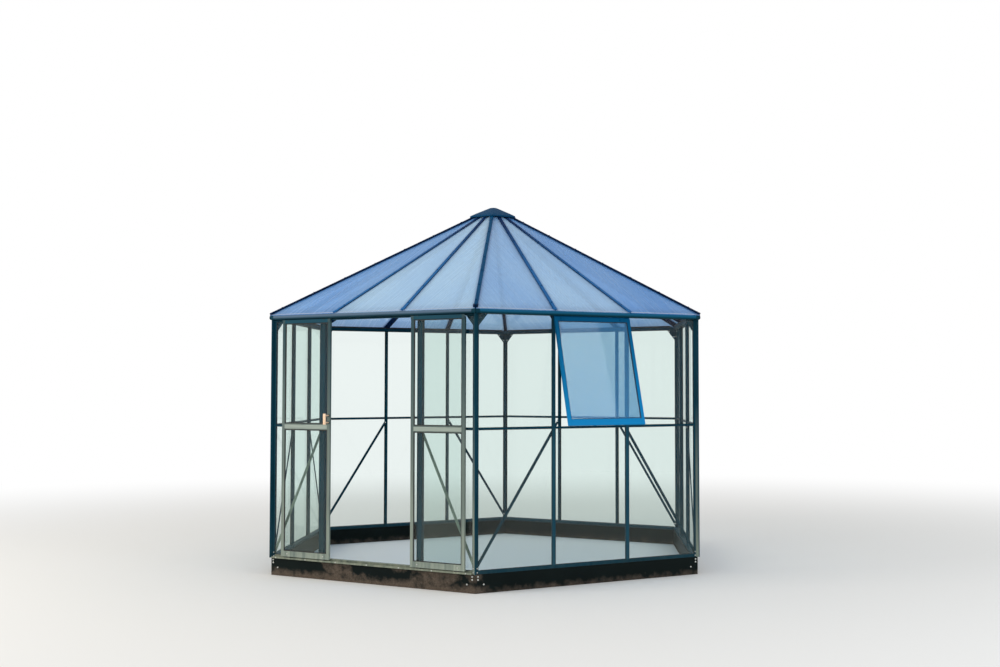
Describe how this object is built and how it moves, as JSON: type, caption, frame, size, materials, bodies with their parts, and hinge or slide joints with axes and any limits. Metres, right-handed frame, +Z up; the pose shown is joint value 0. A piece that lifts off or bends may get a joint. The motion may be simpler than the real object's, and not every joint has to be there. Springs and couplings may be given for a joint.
{
  "type": "glass greenhouse",
  "caption": "Six-sided glass greenhouse with a coated aluminium frame, translucent pyramid roof, double sliding door and an open top-hung window.",
  "frame": {"origin": "middle of the six-sided footprint at ground level", "axes": "+Z up, the door side faces -Y, +X to the right seen from in front of the door"},
  "size_m": [3.7996, 3.3302, 2.9215],
  "materials": {
    "coated_aluminium": "satin powder coat, dark green",
    "clear_glass": "clear toughened glass",
    "roof_polycarbonate": "translucent twin-wall sheet",
    "black_steel": "satin black paint",
    "black_nylon": "moulded nylon",
    "black_rubber": "moulded rubber",
    "tan_plastic": "smooth moulded grip"
  },
  "bodies": {
    "root": {"base_rails": "coated_aluminium", "corner_gussets": "coated_aluminium", "corner_posts": "coated_aluminium", "crown_hub": "coated_aluminium", "door_head_track": "coated_aluminium", "door_jambs": "coated_aluminium", "door_side_glass": "clear_glass", "door_side_roof_sheets": "roof_polycarbonate", "door_sill_track": "coated_aluminium", "eaves_rails": "coated_aluminium", "ground_frame": "black_steel", "hip_bars": "coated_aluminium", "left_rear_glass": "clear_glass", "left_rear_roof_sheets": "roof_polycarbonate", "left_side_glass": "clear_glass", "left_side_roof_sheets": "roof_polycarbonate", "mid_rails": "coated_aluminium", "mullions": "coated_aluminium", "rear_glass": "clear_glass", "rear_roof_sheets": "roof_polycarbonate", "right_rear_glass": "clear_glass", "right_rear_roof_sheets": "roof_polycarbonate", "roof_bars": "coated_aluminium", "roof_cap": "coated_aluminium", "track_stops": "black_rubber", "wall_braces": "coated_aluminium", "window_frame": "coated_aluminium", "window_glass": "clear_glass", "window_hinge_bar": "coated_aluminium", "window_side_glass": "clear_glass", "window_side_roof_sheets": "roof_polycarbonate", "window_stay": "coated_aluminium"},
    "left_door": {"left_door_frame": "coated_aluminium", "left_door_glass": "clear_glass", "left_door_guides": "black_nylon", "left_door_handle": "tan_plastic", "left_door_rollers": "black_nylon"},
    "right_door": {"right_door_frame": "coated_aluminium", "right_door_glass": "clear_glass", "right_door_guides": "black_nylon", "right_door_rollers": "black_nylon"}
  },
  "joints": [
    {"name": "left_door_slide", "type": "slide", "parent": "root", "child": "left_door", "axis": [1, 0, 0], "range_m": [-0.045, 0.352]},
    {"name": "right_door_slide", "type": "slide", "parent": "root", "child": "right_door", "axis": [-1, 0, 0], "range_m": [-0.012, 0.385]}
  ]
}
